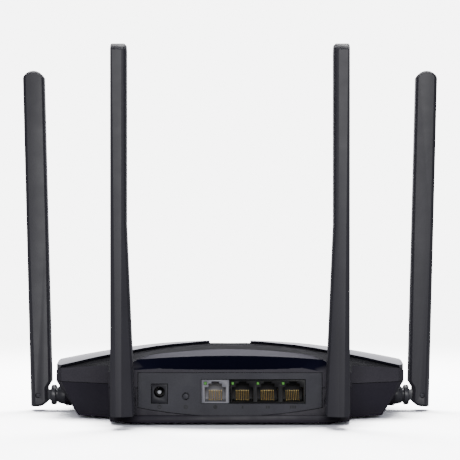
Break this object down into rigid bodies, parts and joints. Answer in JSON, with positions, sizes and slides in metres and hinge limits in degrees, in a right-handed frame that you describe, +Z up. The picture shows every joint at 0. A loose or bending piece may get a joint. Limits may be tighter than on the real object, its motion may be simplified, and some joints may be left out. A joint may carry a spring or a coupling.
{
  "type": "wireless router",
  "caption": "Black wireless router with glossy wing-shaped top plates, a grey socket panel under an overhang at the rear, and blade antennas that swivel and tilt.",
  "frame": {"origin": "on the table plane, under the middle of the bounding box at rest", "axes": "+Z up, +Y towards the rear where the sockets are, +X towards the power inlet side"},
  "size_m": [0.2576, 0.1826, 0.215],
  "materials": {
    "matte_black_plastic": "fine spark texture",
    "hull_black_plastic": "fine spark texture",
    "gloss_black_plastic": "polished",
    "panel_grey_plastic": "fine texture",
    "hinge_grey_plastic": "satin",
    "antenna_plastic": "fine texture",
    "jack_grey_plastic": "satin",
    "jack_black_plastic": "satin",
    "thermal_pad_silicone": "soft",
    "gold_plated_contact": "plated",
    "steel": "bright",
    "aluminium": "extruded",
    "green_light": "clear, lit green",
    "clear_plastic": "clear",
    "circuit_board": "solder mask",
    "lead_jacket": "smooth",
    "rubber": "matte"
  },
  "bodies": {
    "router_body": {"board_screw_1": "steel", "board_screw_2": "steel", "board_screw_3": "steel", "bottom_case": "hull_black_plastic", "capacitor": "aluminium", "case_screw_front_left": "steel", "case_screw_front_right": "steel", "case_screw_rear_left": "steel", "case_screw_rear_right": "steel", "foot_front_left": "rubber", "foot_front_right": "rubber", "foot_rear_left": "rubber", "foot_rear_right": "rubber", "heat_sink": "aluminium", "lan_jack": "jack_black_plastic", "lan_jack_1_contacts": "gold_plated_contact", "lan_jack_1_light": "green_light", "lan_jack_2_contacts": "gold_plated_contact", "lan_jack_2_light": "green_light", "lan_jack_3_contacts": "gold_plated_contact", "lan_jack_3_light": "green_light", "lan_transformer": "jack_black_plastic", "lead_left_inner": "lead_jacket", "lead_left_outer": "lead_jacket", "lead_right_inner": "lead_jacket", "lead_right_outer": "lead_jacket", "left_wing_plate": "gloss_black_plastic", "light_pipe": "clear_plastic", "main_board": "circuit_board", "port_panel": "panel_grey_plastic", "power_inlet": "jack_black_plastic", "power_inlet_pin": "steel", "processor": "jack_black_plastic", "radio_shield": "steel", "reset_switch": "jack_black_plastic", "right_wing_plate": "gloss_black_plastic", "status_light": "green_light", "thermal_pad": "thermal_pad_silicone", "top_case": "matte_black_plastic", "wan_jack": "jack_grey_plastic", "wan_jack_1_contacts": "gold_plated_contact", "wan_jack_1_light": "green_light", "wan_transformer": "jack_black_plastic"},
    "reset_button": {"reset_button": "panel_grey_plastic"},
    "swivel_left_outer": {"swivel_base_left_outer": "hinge_grey_plastic"},
    "antenna_left_outer": {"antenna_blade_left_outer": "antenna_plastic", "hinge_pin_left_outer": "steel", "radiating_strip_left_outer": "circuit_board"},
    "swivel_left_inner": {"swivel_base_left_inner": "hinge_grey_plastic"},
    "antenna_left_inner": {"antenna_blade_left_inner": "antenna_plastic", "hinge_pin_left_inner": "steel", "radiating_strip_left_inner": "circuit_board"},
    "swivel_right_outer": {"swivel_base_right_outer": "hinge_grey_plastic"},
    "antenna_right_outer": {"antenna_blade_right_outer": "antenna_plastic", "hinge_pin_right_outer": "steel", "radiating_strip_right_outer": "circuit_board"},
    "swivel_right_inner": {"swivel_base_right_inner": "hinge_grey_plastic"},
    "antenna_right_inner": {"antenna_blade_right_inner": "antenna_plastic", "hinge_pin_right_inner": "steel", "radiating_strip_right_inner": "circuit_board"}
  },
  "joints": [
    {"name": "left_outer_swivel", "type": "hinge", "parent": "router_body", "child": "swivel_left_outer", "pos_m": [0.1186, -0.00595, 0.0098], "axis": [-1, 0, 0], "range_deg": [-90, 90]},
    {"name": "left_outer_tilt", "type": "hinge", "parent": "swivel_left_outer", "child": "antenna_left_outer", "pos_m": [0.1186, -0.00595, 0.0098], "axis": [0, 1, 0], "range_deg": [-1.4, 88.5]},
    {"name": "left_inner_swivel", "type": "hinge", "parent": "router_body", "child": "swivel_left_inner", "pos_m": [0.0597, 0.08605, 0.0138], "axis": [0, 1, 0], "range_deg": [-30, 90]},
    {"name": "left_inner_tilt", "type": "hinge", "parent": "swivel_left_inner", "child": "antenna_left_inner", "pos_m": [0.0597, 0.08605, 0.0138], "axis": [-1, 0, 0], "range_deg": [0, 90]},
    {"name": "right_outer_swivel", "type": "hinge", "parent": "router_body", "child": "swivel_right_outer", "pos_m": [-0.1186, -0.00595, 0.0098], "axis": [-1, 0, 0], "range_deg": [-90, 90]},
    {"name": "right_outer_tilt", "type": "hinge", "parent": "swivel_right_outer", "child": "antenna_right_outer", "pos_m": [-0.1186, -0.00595, 0.0098], "axis": [0, -1, 0], "range_deg": [-1.4, 88.5]},
    {"name": "right_inner_swivel", "type": "hinge", "parent": "router_body", "child": "swivel_right_inner", "pos_m": [-0.0597, 0.08605, 0.0138], "axis": [0, 1, 0], "range_deg": [-90, 30]},
    {"name": "right_inner_tilt", "type": "hinge", "parent": "swivel_right_inner", "child": "antenna_right_inner", "pos_m": [-0.0597, 0.08605, 0.0138], "axis": [-1, 0, 0], "range_deg": [0, 90]},
    {"name": "reset_press", "type": "slide", "parent": "router_body", "child": "reset_button", "axis": [0, -1, 0], "range_m": [0, 0.0006], "stiffness_N_per_m": 400, "springref_m": -0.0005}
  ]
}
